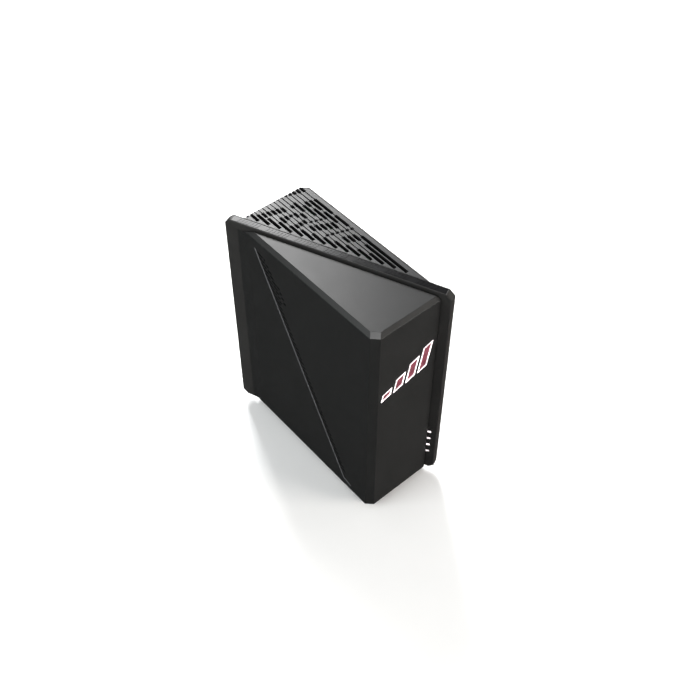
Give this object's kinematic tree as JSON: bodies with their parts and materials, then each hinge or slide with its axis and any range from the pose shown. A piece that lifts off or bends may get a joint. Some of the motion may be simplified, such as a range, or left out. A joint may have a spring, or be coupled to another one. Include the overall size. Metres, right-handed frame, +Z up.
{
  "type": "wireless router",
  "caption": "Upright wireless router: two triangular casings either side of a diagonal blade, slotted top grille, lit badge and status lights, sockets and buttons up the back.",
  "frame": {"origin": "on the table, under the middle of the tower", "axes": "+Z up; -Y is the narrow front with the badge; +Y is the back with the sockets; +X is to the right seen from the front"},
  "size_m": [0.0671, 0.1478, 0.1861],
  "materials": {
    "blade_black": "fine moulded texture, near black",
    "strip_black": "black inlay with raised strokes",
    "casing_satin": "satin charcoal",
    "grille_satin": "satin charcoal",
    "mesh_black": "matte black",
    "trim_grey": "satin grey",
    "base_black": "matte",
    "foot_rubber": "matte rubber",
    "screw_steel": "zinc plated",
    "light_red": "lit crimson diffuser",
    "light_white": "lit white diffuser",
    "board_green": "solder mask",
    "cable_white": "flat flexible cable",
    "panel_black": "matte",
    "shield_tin": "tinned sheet",
    "pad_blue": "soft thermal pad",
    "heatsink_alloy": "extruded",
    "chip_black": "moulded packages",
    "contact_gold": "gold plated",
    "button_grey": "satin",
    "socket_black": "moulded socket",
    "cable_grey": "coaxial jacket"
  },
  "bodies": {
    "root": {"blade_frame": "blade_black", "blade_face_plate": "blade_black", "blade_top_strip": "strip_black", "near_casing": "casing_satin", "rear_casing": "casing_satin", "top_grille": "grille_satin", "side_vent_mesh": "mesh_black", "side_trim": "trim_grey", "near_base": "base_black", "rear_base": "base_black", "rubber_feet": "foot_rubber", "base_screws": "screw_steel", "blade_screws": "screw_steel", "emblem_core": "light_red", "emblem_rim": "light_white", "emblem_light_board": "board_green", "emblem_leds": "light_white", "emblem_screws": "screw_steel", "emblem_ribbon": "cable_white", "indicator_guide": "light_white", "indicator_board": "board_green", "port_panel": "panel_black", "main_board": "board_green", "board_screws": "screw_steel", "cpu_shield": "shield_tin", "radio_shield_low": "shield_tin", "radio_shield_high": "shield_tin", "thermal_pads": "pad_blue", "heatsink": "heatsink_alloy", "memory_chips": "chip_black", "power_parts": "chip_black", "tact_switches": "chip_black", "rf_sockets": "contact_gold", "socket_1": "socket_black", "socket_2": "socket_black", "socket_3": "socket_black", "socket_4": "socket_black", "socket_5": "socket_black", "usb_socket": "shield_tin", "power_inlet": "panel_black", "antenna_1": "board_green", "antenna_2": "board_green", "antenna_3": "board_green", "antenna_4": "board_green", "antenna_lead_1": "cable_grey", "antenna_lead_2": "cable_grey", "antenna_lead_3": "cable_grey", "antenna_lead_4": "cable_grey"},
    "power_key": {"power_button": "button_grey"},
    "wps_key": {"wps_button": "button_grey"},
    "reset_key": {"reset_button": "button_grey"}
  },
  "joints": [
    {"name": "power_press", "type": "slide", "parent": "root", "child": "power_key", "axis": [0, -1, 0], "range_m": [0, 0.0015], "stiffness_N_per_m": 1500, "springref_m": -0.0004},
    {"name": "wps_press", "type": "slide", "parent": "root", "child": "wps_key", "axis": [0, -1, 0], "range_m": [0, 0.0006], "stiffness_N_per_m": 2500, "springref_m": -0.0004},
    {"name": "reset_press", "type": "slide", "parent": "root", "child": "reset_key", "axis": [0, -1, 0], "range_m": [0, 0.0005], "stiffness_N_per_m": 2500, "springref_m": -0.0004}
  ]
}
